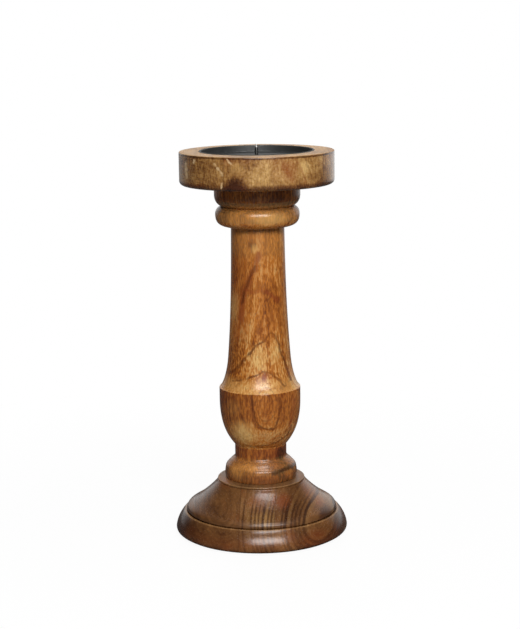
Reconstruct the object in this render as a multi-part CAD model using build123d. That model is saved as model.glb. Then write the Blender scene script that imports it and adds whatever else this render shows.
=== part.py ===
from build123d import *
import math
import os

# Pricket candle stand: a turned wooden column between a thick round dish and a wide moulded foot.
# Origin at the centre of the sole, +Z up, the front of the stand towards -Y, millimetres.

# The whole stand
STAND_HEIGHT = 300.0
SEAT_CLEARANCE = 0.1
CUT_OVERRUN = 2.0

# Felt pad, let into the underside of the foot and standing a little proud of it
FELT_DIAMETER = 108.0
FELT_THICKNESS = 1.5
FELT_PROUD = 0.5

# Foot: a rounded rim, an undercut V groove, a dome in ogee form, and a sloping ledge over a fine quirk
FOOT_DIAMETER = 135.2
SOLE_DIAMETER = 129.2
RIM_BELLY_HEIGHT = 4.2
RIM_TOP_DIAMETER = 121.0
RIM_HEIGHT = 17.5
RIM_LAND_WIDTH = 0.9
GROOVE_DIAMETER = 115.6
GROOVE_DROP = 0.8
DOME_LIP_DIAMETER = 117.9
DOME_LIP_RISE = 0.8
DOME_WAIST_DIAMETER = 102.1
DOME_WAIST_HEIGHT = 25.8
SHOULDER_DIAMETER = 68.9
SHOULDER_HEIGHT = 41.2
LEDGE_DIAMETER = 68.4
LEDGE_ROUND = 0.6
LEDGE_FALL = 0.5
LEDGE_QUIRK_HEIGHT = 0.6
LEDGE_QUIRK_DEPTH = 0.6
FOOT_LAND_DIAMETER = 56.2
FOOT_HEIGHT = 43.4
FOOT_STRIP_WIDTH = 27.0
FOOT_SEAM_TURN = -4.0

# Column, from its lower tenon up: ring, neck, cup, flared lip, shaft and two beads under the dish
RING_DIAMETER = 55.5
RING_BELLY = 0.5
RING_FOOT_CHAMFER = 0.5
RING_SIDE_HEIGHT = 8.2
RING_CREST_DIAMETER = 48.4
RING_CREST_HEIGHT = 13.5
RING_HEIGHT = 18.6
NECK_DIAMETER = 40.4
NECK_HEIGHT = 7.2
CUP_HEEL_DIAMETER = 42.8
CUP_HEEL_HEIGHT = 2.4
CUP_DIAMETER = 63.3
CUP_BOWL_HEIGHT = 34.8
CUP_SIDE_HEIGHT = 9.9
LIP_RADIUS = 0.7
FLARE_DIAMETER = 48.7
FLARE_HEIGHT = 24.3
SHAFT_TOP_DIAMETER = 41.2
LOWER_BEAD_DIAMETER = 65.0
LOWER_BEAD_RISE = 9.8
LOWER_BEAD_HEIGHT = 15.9
BEAD_GROOVE_DIAMETER = 55.6
UPPER_BEAD_DIAMETER = 66.3
UPPER_BEAD_RISE = 9.1
UPPER_BEAD_HEIGHT = 16.7
TENON_DIAMETER = 22.0
TOP_TENON_LENGTH = 13.0
LOW_TENON_LENGTH = 22.0
TENON_CHAMFER = 1.2

# Dish: a thick disc glued up from three boards, recessed for the drip pan
DISH_DIAMETER = 119.0
DISH_HEIGHT = 25.3
DISH_HEEL_RADIUS = 3.4
DISH_ARRIS_RADIUS = 0.9
DISH_BOARD_WIDTH = 77.0
DISH_SEAM_TURN = 16.0

# Drip pan: pressed steel with a curled lip on the edge of the recess and a dimple for the pricket's collar
PAN_DIAMETER = 87.0
PAN_DEPTH = 4.8
PAN_SHEET = 0.8
PAN_CORNER_RADIUS = 1.8
PAN_LIP_RADIUS = 0.8
PAN_LIP_PROUD = 0.5
DIMPLE_FLOOR_DIAMETER = 7.6
DIMPLE_RIM_DIAMETER = 10.2

# Pricket: a steel spike on a collar, flush in the pan's dimple, with a screw shank that clamps the pan
SPIKE_DIAMETER = 2.6
SPIKE_PIN_LENGTH = 5.7
SPIKE_POINT_LENGTH = 4.0
SPIKE_TIP_DIAMETER = 0.5
COLLAR_DIAMETER = 7.0
COLLAR_THICKNESS = 1.1
PRICKET_SHANK_DIAMETER = 3.2
PRICKET_SHANK_LENGTH = 32.0

# Long wood screw and washer, up through the foot into the column
FOOT_SCREW_DIAMETER = 5.0
FOOT_SCREW_LENGTH = 46.0
FOOT_SCREW_HEAD_DIAMETER = 9.6
FOOT_SCREW_HEAD_HEIGHT = 3.2
WASHER_DIAMETER = 14.0
WASHER_THICKNESS = 1.2
COUNTERBORE_DEPTH = 6.0
SCREW_POINT_LENGTH = 5.0

# Handles of the free curves, as shares of each curve's radial and vertical span
RIM_FACE_LEAD_share = (0.10, 0.42)
RIM_FACE_TRAIL_share = (0.62, 0.84)
SOLE_ROUND_LEAD_share = (0.72, 0.32)
SOLE_ROUND_TRAIL_share = (1.00, 0.42)
DOME_LIP_LEAD_share = (0.00, 0.46)
DOME_LIP_TRAIL_share = (0.20, 0.46)
DOME_SWEEP_LEAD_share = (0.32, 0.22)
DOME_SWEEP_TRAIL_share = (0.93, 0.81)
RING_ROUND_LEAD_share = (0.04, 0.50)
RING_ROUND_TRAIL_share = (0.60, 0.66)
RING_COVE_LEAD_share = (0.42, 0.36)
RING_COVE_TRAIL_share = (1.00, 0.52)
CUP_HEEL_LEAD_share = (0.00, 0.50)
CUP_HEEL_TRAIL_share = (0.55, 0.78)
CUP_BOWL_LEAD_share = (0.54, 0.20)
CUP_BOWL_TRAIL_share = (1.00, 0.48)
FLARE_LEAD_share = (0.50, 0.16)
FLARE_TRAIL_share = (0.88, 0.58)
SHAFT_LEAD_share = (0.66, 0.30)
SHAFT_TRAIL_share = (0.90, 0.60)
LOWER_BEAD_LEAD_share = (0.82, 0.02)
LOWER_BEAD_TRAIL_share = (1.00, 0.38)
BEAD_CROWN_LEAD_share = (0.00, 0.54)
BEAD_CROWN_TRAIL_share = (0.47, 0.95)
UPPER_BEAD_LEAD_share = (0.56, 0.14)
UPPER_BEAD_TRAIL_share = (1.00, 0.42)

# Levels that follow from the sizes above
SOLE_LEVEL = FELT_PROUD
FELT_TOP_LEVEL = FELT_THICKNESS
NECK_LEVEL = FOOT_HEIGHT + RING_HEIGHT
CUP_LEVEL = NECK_LEVEL + NECK_HEIGHT
BOWL_LEVEL = CUP_LEVEL + CUP_HEEL_HEIGHT
CUP_SIDE_LEVEL = BOWL_LEVEL + CUP_BOWL_HEIGHT
LIP_LEVEL = CUP_SIDE_LEVEL + CUP_SIDE_HEIGHT
DISH_LEVEL = STAND_HEIGHT - DISH_HEIGHT
BEAD_GROOVE_LEVEL = DISH_LEVEL - UPPER_BEAD_HEIGHT
LOWER_BEAD_LEVEL = BEAD_GROOVE_LEVEL - LOWER_BEAD_HEIGHT
RECESS_LEVEL = STAND_HEIGHT - PAN_DEPTH - PAN_SHEET
PAN_FLOOR_LEVEL = RECESS_LEVEL + PAN_SHEET
PAN_LIP_LEVEL = STAND_HEIGHT + PAN_LIP_PROUD - PAN_LIP_RADIUS
PAN_LIP_CENTRE = PAN_DIAMETER / 2 - PAN_SHEET + PAN_LIP_RADIUS
DIMPLE_LEVEL = PAN_FLOOR_LEVEL - COLLAR_THICKNESS
DIMPLE_SEAT_LEVEL = DIMPLE_LEVEL - PAN_SHEET - SEAT_CLEARANCE
SPIKE_TIP_LEVEL = PAN_FLOOR_LEVEL + SPIKE_PIN_LENGTH + SPIKE_POINT_LENGTH
PRICKET_END_LEVEL = DIMPLE_LEVEL - PRICKET_SHANK_LENGTH
LOW_TENON_LEVEL = FOOT_HEIGHT - LOW_TENON_LENGTH
WASHER_LEVEL = FELT_TOP_LEVEL + COUNTERBORE_DEPTH
SCREW_HEAD_LEVEL = WASHER_LEVEL - WASHER_THICKNESS
SCREW_END_LEVEL = SCREW_HEAD_LEVEL + FOOT_SCREW_LENGTH
SOCKET_DIAMETER = TENON_DIAMETER + 2 * SEAT_CLEARANCE
RECESS_DIAMETER = PAN_DIAMETER + 2 * SEAT_CLEARANCE


def path(*corners):
    """Straight edges from corner to corner of a half section, given as radius and height."""
    return [Line(a, b) for a, b in zip(corners, corners[1:])]


def curve(start, end, lead, trail):
    """Smooth stretch whose two handles stand at shares of its radial and vertical span."""
    run, rise = end[0] - start[0], end[1] - start[1]
    handles = [(start[0] + run * across, start[1] + rise * up) for across, up in (lead, trail)]
    return Bezier(start, *handles, end)


def turned(edges):
    """Solid turned about Z from the edges of a closed half section."""
    return revolve(Plane.XZ * make_face(edges), Axis.Z)


def rod(diameter, low, high):
    """Round bar on the Z axis between two levels."""
    return Pos(0, 0, low) * Cylinder(diameter / 2, high - low, align=(Align.CENTER, Align.CENTER, Align.MIN))


def sawn(blank, board_width, turn):
    """Left, middle and right boards of a round blank, parted at two parallel glue seams."""
    across = Vector(1, 0, 0).rotate(Axis.Z, turn)
    seam_right = Plane(origin=across * (board_width / 2), z_dir=across)
    seam_left = Plane(origin=across * (-board_width / 2), z_dir=across)
    right = split(blank, bisect_by=seam_right, keep=Keep.TOP)
    inner = split(blank, bisect_by=seam_right, keep=Keep.BOTTOM)
    middle = split(inner, bisect_by=seam_left, keep=Keep.TOP)
    left = split(inner, bisect_by=seam_left, keep=Keep.BOTTOM)
    return left, middle, right


def foot_blank():
    """Whole foot before it is parted into its boards."""
    sole = (SOLE_DIAMETER / 2, SOLE_LEVEL)
    belly = (FOOT_DIAMETER / 2, RIM_BELLY_HEIGHT)
    rim_top = (RIM_TOP_DIAMETER / 2, RIM_HEIGHT)
    rim_land = (RIM_TOP_DIAMETER / 2 - RIM_LAND_WIDTH, RIM_HEIGHT)
    groove = (GROOVE_DIAMETER / 2, RIM_HEIGHT - GROOVE_DROP)
    dome_lip = (DOME_LIP_DIAMETER / 2, RIM_HEIGHT + DOME_LIP_RISE)
    waist = (DOME_WAIST_DIAMETER / 2, DOME_WAIST_HEIGHT)
    shoulder = (SHOULDER_DIAMETER / 2, SHOULDER_HEIGHT)
    quirk = (LEDGE_DIAMETER / 2 - LEDGE_QUIRK_DEPTH, SHOULDER_HEIGHT + LEDGE_QUIRK_HEIGHT / 2)
    ledge_low = (LEDGE_DIAMETER / 2, SHOULDER_HEIGHT + LEDGE_QUIRK_HEIGHT)
    ledge_level = FOOT_HEIGHT - LEDGE_FALL
    ledge_out = (LEDGE_DIAMETER / 2, ledge_level - LEDGE_ROUND)
    ledge_in = (LEDGE_DIAMETER / 2 - LEDGE_ROUND, ledge_level)
    land = (FOOT_LAND_DIAMETER / 2, FOOT_HEIGHT)
    section = [
        *path((0, SOLE_LEVEL), sole),
        curve(sole, belly, SOLE_ROUND_LEAD_share, SOLE_ROUND_TRAIL_share),
        curve(belly, rim_top, RIM_FACE_LEAD_share, RIM_FACE_TRAIL_share),
        *path(rim_top, rim_land, groove, dome_lip),
        curve(dome_lip, waist, DOME_LIP_LEAD_share, DOME_LIP_TRAIL_share),
        curve(waist, shoulder, DOME_SWEEP_LEAD_share, DOME_SWEEP_TRAIL_share),
        *path(shoulder, quirk, ledge_low, ledge_out),
        RadiusArc(ledge_out, ledge_in, -LEDGE_ROUND),
        *path(ledge_in, land, (0, FOOT_HEIGHT), (0, SOLE_LEVEL)),
    ]
    blank = turned(section)
    blank -= rod(FELT_DIAMETER + 2 * SEAT_CLEARANCE, SOLE_LEVEL - CUT_OVERRUN, FELT_TOP_LEVEL)
    blank -= rod(WASHER_DIAMETER + 2 * SEAT_CLEARANCE, SOLE_LEVEL, WASHER_LEVEL)
    blank -= rod(FOOT_SCREW_DIAMETER + 2 * SEAT_CLEARANCE, SOLE_LEVEL, FOOT_HEIGHT)
    blank -= rod(SOCKET_DIAMETER, LOW_TENON_LEVEL - SEAT_CLEARANCE, FOOT_HEIGHT + CUT_OVERRUN)
    return blank


def column():
    """Baluster with a round tenon at each end and pilot holes for the two screws."""
    ring_seat = (RING_DIAMETER / 2 - RING_FOOT_CHAMFER, FOOT_HEIGHT)
    ring_low = (RING_DIAMETER / 2, FOOT_HEIGHT + RING_FOOT_CHAMFER)
    ring_side = (RING_DIAMETER / 2, FOOT_HEIGHT + RING_SIDE_HEIGHT)
    ring_crest = (RING_CREST_DIAMETER / 2, FOOT_HEIGHT + RING_CREST_HEIGHT)
    neck_low = (NECK_DIAMETER / 2, NECK_LEVEL)
    neck_high = (NECK_DIAMETER / 2, CUP_LEVEL)
    heel = (CUP_HEEL_DIAMETER / 2, BOWL_LEVEL)
    cup_side = (CUP_DIAMETER / 2, CUP_SIDE_LEVEL)
    lip_low = (CUP_DIAMETER / 2, LIP_LEVEL - LIP_RADIUS)
    lip_high = (CUP_DIAMETER / 2 - LIP_RADIUS, LIP_LEVEL)
    shaft_low = (FLARE_DIAMETER / 2, LIP_LEVEL + FLARE_HEIGHT)
    shaft_high = (SHAFT_TOP_DIAMETER / 2, LOWER_BEAD_LEVEL)
    bead_low = (LOWER_BEAD_DIAMETER / 2, LOWER_BEAD_LEVEL + LOWER_BEAD_RISE)
    bead_groove = (BEAD_GROOVE_DIAMETER / 2, BEAD_GROOVE_LEVEL)
    bead_high = (UPPER_BEAD_DIAMETER / 2, BEAD_GROOVE_LEVEL + UPPER_BEAD_RISE)
    dish_seat = (UPPER_BEAD_DIAMETER / 2, DISH_LEVEL)
    tenon = TENON_DIAMETER / 2
    top_end = DISH_LEVEL + TOP_TENON_LENGTH
    section = [
        *path((0, LOW_TENON_LEVEL), (tenon - TENON_CHAMFER, LOW_TENON_LEVEL)),
        *path((tenon - TENON_CHAMFER, LOW_TENON_LEVEL), (tenon, LOW_TENON_LEVEL + TENON_CHAMFER)),
        *path((tenon, LOW_TENON_LEVEL + TENON_CHAMFER), (tenon, FOOT_HEIGHT), ring_seat, ring_low),
        SagittaArc(ring_low, ring_side, -RING_BELLY),
        curve(ring_side, ring_crest, RING_ROUND_LEAD_share, RING_ROUND_TRAIL_share),
        curve(ring_crest, neck_low, RING_COVE_LEAD_share, RING_COVE_TRAIL_share),
        *path(neck_low, neck_high),
        curve(neck_high, heel, CUP_HEEL_LEAD_share, CUP_HEEL_TRAIL_share),
        curve(heel, cup_side, CUP_BOWL_LEAD_share, CUP_BOWL_TRAIL_share),
        *path(cup_side, lip_low),
        RadiusArc(lip_low, lip_high, -LIP_RADIUS),
        curve(lip_high, shaft_low, FLARE_LEAD_share, FLARE_TRAIL_share),
        curve(shaft_low, shaft_high, SHAFT_LEAD_share, SHAFT_TRAIL_share),
        curve(shaft_high, bead_low, LOWER_BEAD_LEAD_share, LOWER_BEAD_TRAIL_share),
        curve(bead_low, bead_groove, BEAD_CROWN_LEAD_share, BEAD_CROWN_TRAIL_share),
        curve(bead_groove, bead_high, UPPER_BEAD_LEAD_share, UPPER_BEAD_TRAIL_share),
        *path(bead_high, dish_seat, (tenon, DISH_LEVEL), (tenon, top_end - TENON_CHAMFER)),
        *path((tenon, top_end - TENON_CHAMFER), (tenon - TENON_CHAMFER, top_end), (0, top_end)),
        *path((0, top_end), (0, LOW_TENON_LEVEL)),
    ]
    baluster = turned(section)
    baluster -= rod(PRICKET_SHANK_DIAMETER + 2 * SEAT_CLEARANCE, PRICKET_END_LEVEL - SEAT_CLEARANCE, top_end)
    baluster -= rod(FOOT_SCREW_DIAMETER + 2 * SEAT_CLEARANCE, LOW_TENON_LEVEL, SCREW_END_LEVEL + SEAT_CLEARANCE)
    return baluster


def dish_blank():
    """Whole dish before it is parted into its boards: rounded heel, flat top and pan recess."""
    radius = DISH_DIAMETER / 2
    heel_in = (radius - DISH_HEEL_RADIUS, DISH_LEVEL)
    heel_out = (radius, DISH_LEVEL + DISH_HEEL_RADIUS)
    arris_out = (radius, STAND_HEIGHT - DISH_ARRIS_RADIUS)
    arris_in = (radius - DISH_ARRIS_RADIUS, STAND_HEIGHT)
    recess = RECESS_DIAMETER / 2
    seat_radius = PAN_LIP_RADIUS + SEAT_CLEARANCE
    seat_out = (PAN_LIP_CENTRE + math.sqrt(seat_radius**2 - (STAND_HEIGHT - PAN_LIP_LEVEL)**2), STAND_HEIGHT)
    seat_in = (recess, PAN_LIP_LEVEL - math.sqrt(seat_radius**2 - (recess - PAN_LIP_CENTRE)**2))
    section = [
        *path((0, DISH_LEVEL), heel_in),
        RadiusArc(heel_in, heel_out, -DISH_HEEL_RADIUS),
        *path(heel_out, arris_out),
        RadiusArc(arris_out, arris_in, -DISH_ARRIS_RADIUS),
        *path(arris_in, seat_out),
        RadiusArc(seat_out, seat_in, seat_radius),
        *path(seat_in, (recess, RECESS_LEVEL), (0, RECESS_LEVEL), (0, DISH_LEVEL)),
    ]
    blank = turned(section)
    blank -= rod(SOCKET_DIAMETER, DISH_LEVEL - CUT_OVERRUN, DISH_LEVEL + TOP_TENON_LENGTH + SEAT_CLEARANCE)
    blank -= rod(DIMPLE_RIM_DIAMETER + 2 * SEAT_CLEARANCE, DIMPLE_SEAT_LEVEL, STAND_HEIGHT)
    blank -= rod(PRICKET_SHANK_DIAMETER + 2 * SEAT_CLEARANCE, DISH_LEVEL, STAND_HEIGHT)
    return blank


def drip_pan():
    """Round tray pressed from sheet: dimple, flat floor, rounded corner, upright wall and curled lip."""
    outer = PAN_DIAMETER / 2
    inner = outer - PAN_SHEET
    corner_in = PAN_CORNER_RADIUS - PAN_SHEET
    hole = PRICKET_SHANK_DIAMETER / 2 + SEAT_CLEARANCE
    dimple_floor = DIMPLE_FLOOR_DIAMETER / 2
    dimple_rim = DIMPLE_RIM_DIAMETER / 2
    section = [
        *path((hole, DIMPLE_LEVEL), (hole, DIMPLE_LEVEL - PAN_SHEET), (dimple_floor, DIMPLE_LEVEL - PAN_SHEET)),
        *path((dimple_floor, DIMPLE_LEVEL - PAN_SHEET), (dimple_rim, RECESS_LEVEL)),
        *path((dimple_rim, RECESS_LEVEL), (outer - PAN_CORNER_RADIUS, RECESS_LEVEL)),
        RadiusArc((outer - PAN_CORNER_RADIUS, RECESS_LEVEL), (outer, RECESS_LEVEL + PAN_CORNER_RADIUS),
                  -PAN_CORNER_RADIUS),
        *path((outer, RECESS_LEVEL + PAN_CORNER_RADIUS), (outer, PAN_LIP_LEVEL), (inner, PAN_LIP_LEVEL)),
        *path((inner, PAN_LIP_LEVEL), (inner, PAN_FLOOR_LEVEL + corner_in)),
        RadiusArc((inner, PAN_FLOOR_LEVEL + corner_in), (inner - corner_in, PAN_FLOOR_LEVEL), corner_in),
        *path((inner - corner_in, PAN_FLOOR_LEVEL), (dimple_rim, PAN_FLOOR_LEVEL), (dimple_floor, DIMPLE_LEVEL)),
        *path((dimple_floor, DIMPLE_LEVEL), (hole, DIMPLE_LEVEL)),
    ]
    lip_section = Pos(PAN_LIP_CENTRE, PAN_LIP_LEVEL) * Circle(PAN_LIP_RADIUS)
    return turned(section) + revolve(Plane.XZ * lip_section, Axis.Z)


def pricket_spike():
    """Pointed pin on a collar, with a tapered screw shank below it."""
    pin = SPIKE_DIAMETER / 2
    tip = SPIKE_TIP_DIAMETER / 2
    collar = COLLAR_DIAMETER / 2
    shank = PRICKET_SHANK_DIAMETER / 2
    pin_top = PAN_FLOOR_LEVEL + SPIKE_PIN_LENGTH
    taper_level = PRICKET_END_LEVEL + SCREW_POINT_LENGTH
    section = path(
        (0, PRICKET_END_LEVEL), (shank, taper_level), (shank, DIMPLE_LEVEL), (collar, DIMPLE_LEVEL),
        (collar, PAN_FLOOR_LEVEL), (pin, PAN_FLOOR_LEVEL), (pin, pin_top), (tip, SPIKE_TIP_LEVEL),
        (0, SPIKE_TIP_LEVEL), (0, PRICKET_END_LEVEL),
    )
    return turned(section)


def foot_screw():
    """Pan-headed wood screw, head down, that draws the column into the foot."""
    shank = FOOT_SCREW_DIAMETER / 2
    head = FOOT_SCREW_HEAD_DIAMETER / 2
    head_low = SCREW_HEAD_LEVEL - FOOT_SCREW_HEAD_HEIGHT
    crown = (head, SCREW_HEAD_LEVEL - FOOT_SCREW_HEAD_HEIGHT / 3)
    section = [
        Line((0, head_low), (head / 2, head_low)),
        SagittaArc((head / 2, head_low), crown, -FOOT_SCREW_HEAD_HEIGHT / 8),
        *path(crown, (head, SCREW_HEAD_LEVEL), (shank, SCREW_HEAD_LEVEL)),
        *path((shank, SCREW_HEAD_LEVEL), (shank, SCREW_END_LEVEL - SCREW_POINT_LENGTH), (0, SCREW_END_LEVEL)),
        Line((0, SCREW_END_LEVEL), (0, head_low)),
    ]
    return turned(section)


def foot_washer():
    """Flat washer between the screw head and the floor of the counterbore."""
    disc = rod(WASHER_DIAMETER, SCREW_HEAD_LEVEL, WASHER_LEVEL)
    return disc - rod(FOOT_SCREW_DIAMETER + 2 * SEAT_CLEARANCE, SCREW_HEAD_LEVEL, WASHER_LEVEL)


def felt_pad():
    """Felt disc that the stand rests on."""
    return rod(FELT_DIAMETER, 0, FELT_TOP_LEVEL)


def main():
    foot_boards = sawn(foot_blank(), FOOT_STRIP_WIDTH, FOOT_SEAM_TURN)
    dish_boards = sawn(dish_blank(), DISH_BOARD_WIDTH, DISH_SEAM_TURN)
    pieces = {
        "felt_pad": felt_pad(),
        "foot_screw": foot_screw(),
        "foot_washer": foot_washer(),
        "column": column(),
        "drip_pan": drip_pan(),
        "pricket_spike": pricket_spike(),
    }
    for side, foot_board, dish_board in zip(("left", "middle", "right"), foot_boards, dish_boards):
        pieces[f"foot_board_{side}"] = foot_board
        pieces[f"dish_board_{side}"] = dish_board
    os.makedirs("parts", exist_ok=True)
    for name, piece in pieces.items():
        export_step(piece, f"parts/{name}.step")


if __name__ == "__main__":
    main()
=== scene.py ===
import math

import bpy
from mathutils import Matrix, Vector


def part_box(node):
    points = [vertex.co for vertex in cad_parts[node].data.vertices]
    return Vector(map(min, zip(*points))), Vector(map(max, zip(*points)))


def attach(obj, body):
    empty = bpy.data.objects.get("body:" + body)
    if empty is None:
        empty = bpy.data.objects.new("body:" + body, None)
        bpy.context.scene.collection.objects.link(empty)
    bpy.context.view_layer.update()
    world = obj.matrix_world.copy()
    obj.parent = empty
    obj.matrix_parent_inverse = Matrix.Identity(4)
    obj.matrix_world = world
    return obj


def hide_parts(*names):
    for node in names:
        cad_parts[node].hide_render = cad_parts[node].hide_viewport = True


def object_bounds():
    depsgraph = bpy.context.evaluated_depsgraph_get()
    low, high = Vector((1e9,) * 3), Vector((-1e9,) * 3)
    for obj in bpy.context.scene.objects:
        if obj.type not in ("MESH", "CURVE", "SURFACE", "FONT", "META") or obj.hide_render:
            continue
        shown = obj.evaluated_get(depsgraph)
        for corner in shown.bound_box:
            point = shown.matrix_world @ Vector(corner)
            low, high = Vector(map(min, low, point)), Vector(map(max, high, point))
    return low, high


bl_info = {
    "name": "Pricket Candle Stand",
    "version": (1, 0, 0),
    "blender": (4, 5, 0),
    "location": "3D View > Sidebar > Candle Stand",
    "description": "Turned wooden stand for a pillar candle with a steel drip pan and spike, piece by piece",
    "category": "Add Mesh",
}

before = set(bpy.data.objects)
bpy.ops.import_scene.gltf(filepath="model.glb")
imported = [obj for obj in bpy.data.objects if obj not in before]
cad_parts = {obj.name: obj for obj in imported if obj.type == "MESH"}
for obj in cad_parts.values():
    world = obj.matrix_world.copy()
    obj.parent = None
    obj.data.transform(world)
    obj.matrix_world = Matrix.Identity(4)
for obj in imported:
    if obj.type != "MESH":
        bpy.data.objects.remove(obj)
CAD_LOW, CAD_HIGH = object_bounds()

# Corners of the fixed pieces that the outlines below start from, in metres
FOOT_LOW, FOOT_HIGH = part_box("foot_board_middle")
COLUMN_LOW, COLUMN_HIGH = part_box("column")
DISH_LOW, DISH_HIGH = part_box("dish_board_middle")
PAN_LOW, PAN_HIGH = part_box("drip_pan")
PRICKET_LOW, PRICKET_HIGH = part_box("pricket_spike")
SCREW_LOW, SCREW_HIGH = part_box("foot_screw")
WASHER_LOW, WASHER_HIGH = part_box("foot_washer")
FELT_LOW, FELT_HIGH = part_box("felt_pad")

# Unit, shared clearance and turning quality
MM = 0.001
CLEARANCE = 0.0001
SPIN_STEPS = 192
CURVE_STEPS = 14
SMOOTH_ANGLE = math.radians(34)
MERGE_DISTANCE = 0.000002

# Handles of a round quarter turn, of a slack seat, of the two halves of a shallow belly and of a screw's
# head, as shares of the span of their stretch
ROUND_OUT_SHARES = ((0.0, 0.55), (0.45, 1.0))
ROUND_IN_SHARES = ((0.55, 0.0), (1.0, 0.45))
SEAT_SHARES = ((0.0, 0.6), (0.5, 1.0))
BELLY_OUT_SHARES = ((0.667, 0.333), (1.0, 0.667))
BELLY_IN_SHARES = ((0.0, 0.333), (0.333, 0.667))
SCREW_HEAD_SHARES = ((0.55, 0.1), (1.0, 0.6))

# Foot: radii, heights above the floor, and the handles of its curves
SOLE_RADIUS = 0.0646
BELLY_LEVEL = 0.0042
RIM_TOP_RADIUS = 0.0605
RIM_LEVEL = 0.0175
RIM_LAND = 0.0009
GROOVE_RADIUS = 0.0578
GROOVE_LEVEL = 0.0167
DOME_LIP_RADIUS = 0.05895
DOME_LIP_LEVEL = 0.0183
WAIST_RADIUS = 0.05105
WAIST_LEVEL = 0.0258
SHOULDER_RADIUS = 0.03445
SHOULDER_LEVEL = 0.0412
LEDGE_RADIUS = 0.0342
LEDGE_QUIRK = 0.0006
LEDGE_ROUND = 0.0006
LEDGE_FALL = 0.0005
LAND_RADIUS = 0.0281
SOCKET_DEPTH = 0.0221
FOOT_BOARD_HALF = 0.0135
FOOT_SEAM_TURN = math.radians(-4)
SOLE_ROUND_SHARES = ((0.72, 0.32), (1.00, 0.42))
RIM_FACE_SHARES = ((0.10, 0.42), (0.62, 0.84))
DOME_LIP_SHARES = ((0.00, 0.46), (0.20, 0.46))
DOME_SWEEP_SHARES = ((0.32, 0.22), (0.93, 0.81))

# Column: radii and heights from the foot up
TENON_RADIUS = 0.0110
TENON_CHAMFER = 0.0012
LOW_TENON = 0.0220
TOP_TENON = 0.0130
RING_RADIUS = 0.02775
RING_BELLY = 0.0005
RING_CHAMFER = 0.0005
RING_SIDE = 0.0082
RING_CREST_RADIUS = 0.0242
RING_CREST = 0.0135
RING_HEIGHT = 0.0186
NECK_RADIUS = 0.0202
NECK_HEIGHT = 0.0072
HEEL_RADIUS = 0.0214
HEEL_HEIGHT = 0.0024
CUP_RADIUS = 0.03165
BOWL_HEIGHT = 0.0348
CUP_SIDE = 0.0099
LIP_ROUND = 0.0007
FLARE_RADIUS = 0.02435
FLARE_HEIGHT = 0.0243
SHAFT_TOP_RADIUS = 0.0206
LOWER_BEAD_RADIUS = 0.0325
LOWER_BEAD_RISE = 0.0098
LOWER_BEAD_HEIGHT = 0.0159
BEAD_GROOVE_RADIUS = 0.0278
UPPER_BEAD_RISE = 0.0091
UPPER_BEAD_HEIGHT = 0.0167
RING_ROUND_SHARES = ((0.04, 0.50), (0.60, 0.66))
RING_COVE_SHARES = ((0.42, 0.36), (1.00, 0.52))
HEEL_SHARES = ((0.00, 0.50), (0.55, 0.78))
BOWL_SHARES = ((0.54, 0.20), (1.00, 0.48))
FLARE_SHARES = ((0.50, 0.16), (0.88, 0.58))
SHAFT_SHARES = ((0.66, 0.30), (0.90, 0.60))
LOWER_BEAD_SHARES = ((0.82, 0.02), (1.00, 0.38))
BEAD_CROWN_SHARES = ((0.00, 0.54), (0.47, 0.95))
UPPER_BEAD_SHARES = ((0.56, 0.14), (1.00, 0.42))

# Dish
DISH_HEEL_ROUND = 0.0034
DISH_ARRIS_ROUND = 0.0009
DISH_BOARD_HALF = 0.0385
DISH_SEAM_TURN = math.radians(16)

# Drip pan, pressed from sheet
PAN_SHEET = 0.0008
PAN_LIP_RADIUS = 0.0008
PAN_CORNER_ROUND = 0.0018
DIMPLE_FLOOR_RADIUS = 0.0038
DIMPLE_RIM_RADIUS = 0.0051
DIMPLE_DEPTH = 0.0011

# Pricket and its screw shank
PIN_RADIUS = 0.0013
PIN_LENGTH = 0.0057
TIP_RADIUS = 0.00025
GROUND_RISE = 0.0021
SHANK_RADIUS = 0.0016
SCREW_POINT = 0.0050

# Foot screw and washer
SCREW_RADIUS = 0.0025
SCREW_HEAD_HEIGHT = 0.0032

# Lights: azimuth from the viewer's side and height angle in degrees, width and depth, and what they light
LIGHT_DISTANCE = 1.7
LIGHTS = {
    "key": (8.0, 33.0, 1.2, 0.45, "diffuse"),
    "side": (62.0, 42.0, 1.2, 1.2, "diffuse"),
    "top": (180.0, 84.0, 1.8, 1.4, "diffuse"),
    "back": (186.0, 28.0, 0.9, 0.9, "diffuse"),
    "sheen": (8.0, 27.0, 1.25, 0.55, "glossy"),
    "high_sheen": (15.0, 66.0, 0.8, 0.34, "glossy"),
}

# Where the surroundings and the floor show white: the direction straight behind the stand, and where each
# passage of brightness starts and ends
BEHIND = (0.12, 0.99, 0.0)
SKY_PASSAGE = (0.45, 0.9)
FLOOR_PASSAGE = (0.6, 2.4)
FLOOR_SIDE_PASSAGE = (-0.5, 0.1)

# Camera: the photograph's viewing place
CAMERA_PLACE = (0.0009, -1.2500, 0.4069)
CAMERA_PITCH = 0.18527
CAMERA_ROLL = -0.0143
CAMERA_LENS = 93.68
SENSOR_WIDTH = 36.0

# Numbers of a colour Mix node's sockets, because several of the node's sockets have the same name
MIX_FACTOR, MIX_FIRST, MIX_SECOND, MIX_RESULT = 0, 6, 7, 2

# Upwards, in metres and in millimetres; full cores of a drawn line, a cloud and a painted edge highlight, as
# shares
UP = (0.0, 0.0, 1.0)
UP_MM = (0.0, 0.0, 1.0 / MM)
LINE_CORE = 0.3
BLOT_CORE = 0.25
EDGE_HIGHLIGHT_CORE = 0.12

# Belts of the wood: two heights in millimetres, each followed by its fade. They are the dish's land, the place
# where its flecks end, and the top of the foot's dome, where the drawn rings thin out; RIM_TO_DOME is where
# those rings come up from the rim
DISH_LAND = (299.7, 0.2, 310.0, 1.0)
FLECKS_END = (299.3, 0.4, 310.0, 1.0)
DOME_TOP = (36.0, 8.0, 44.0, 0.5)
RIM_TO_DOME = (15.0, 19.0)

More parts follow.
